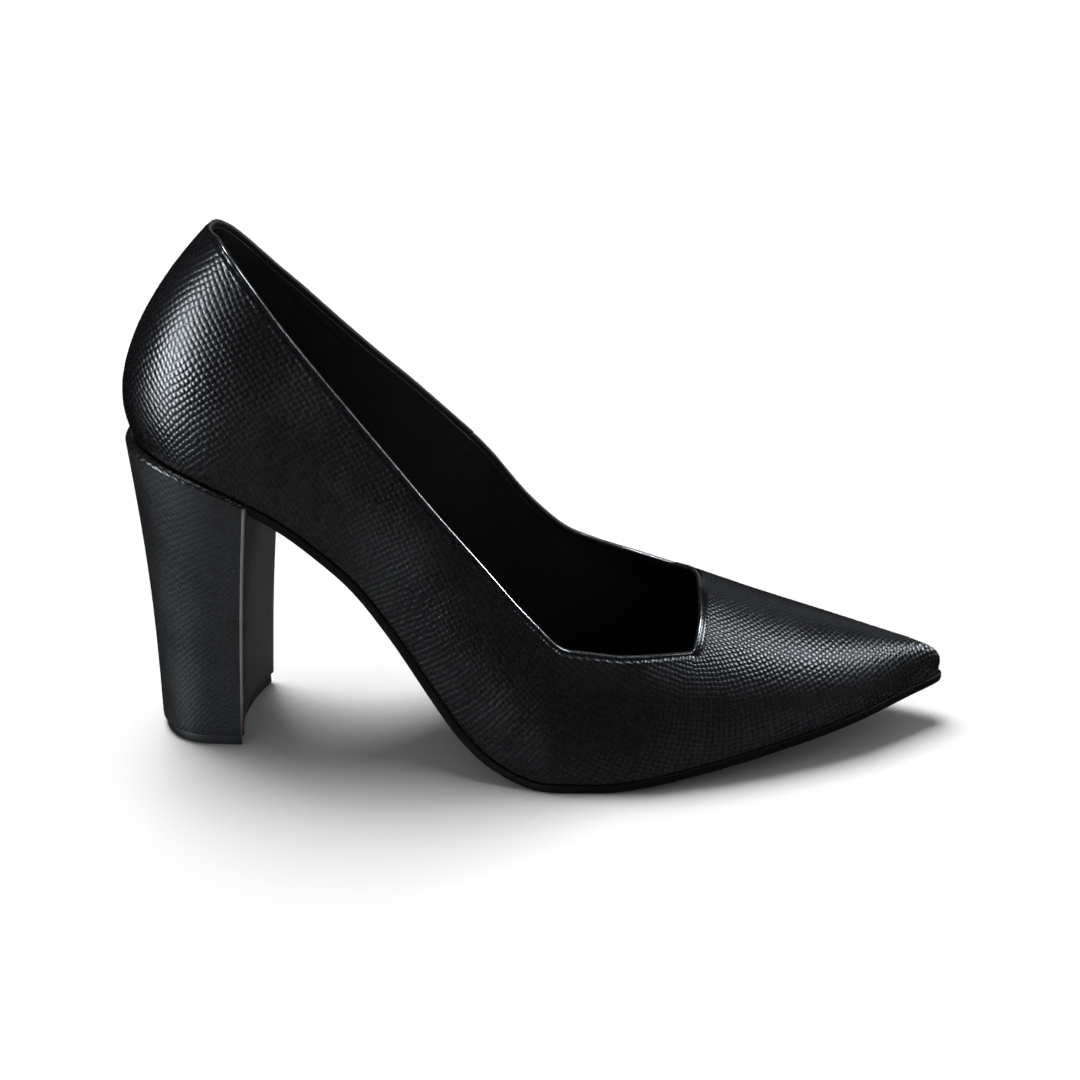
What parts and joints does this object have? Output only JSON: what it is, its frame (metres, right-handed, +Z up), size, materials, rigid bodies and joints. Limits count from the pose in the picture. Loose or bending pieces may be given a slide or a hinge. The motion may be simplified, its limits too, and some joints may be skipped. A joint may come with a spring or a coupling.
{
  "type": "high heel",
  "caption": "Black court shoe for the right foot: pointed toe, slanted collar with a squared throat, embossed leather upper and a leather-covered block heel.",
  "frame": {"origin": "on the floor, under the middle of the shoe's overall box", "axes": "+X to the toe, +Y to the inner side of the foot, +Z up"},
  "size_m": [0.2345, 0.0774, 0.1555],
  "materials": {
    "leather": "satin, embossed with a small regular grain",
    "lining": "matt",
    "sole": "smooth, edge painted black",
    "heel_cover": "satin, embossed with a small regular grain",
    "rubber": "matt"
  },
  "bodies": {
    "root": {"upper": "leather", "insole": "lining", "outsole": "sole", "heel": "heel_cover", "top_piece": "rubber"}
  },
  "joints": []
}
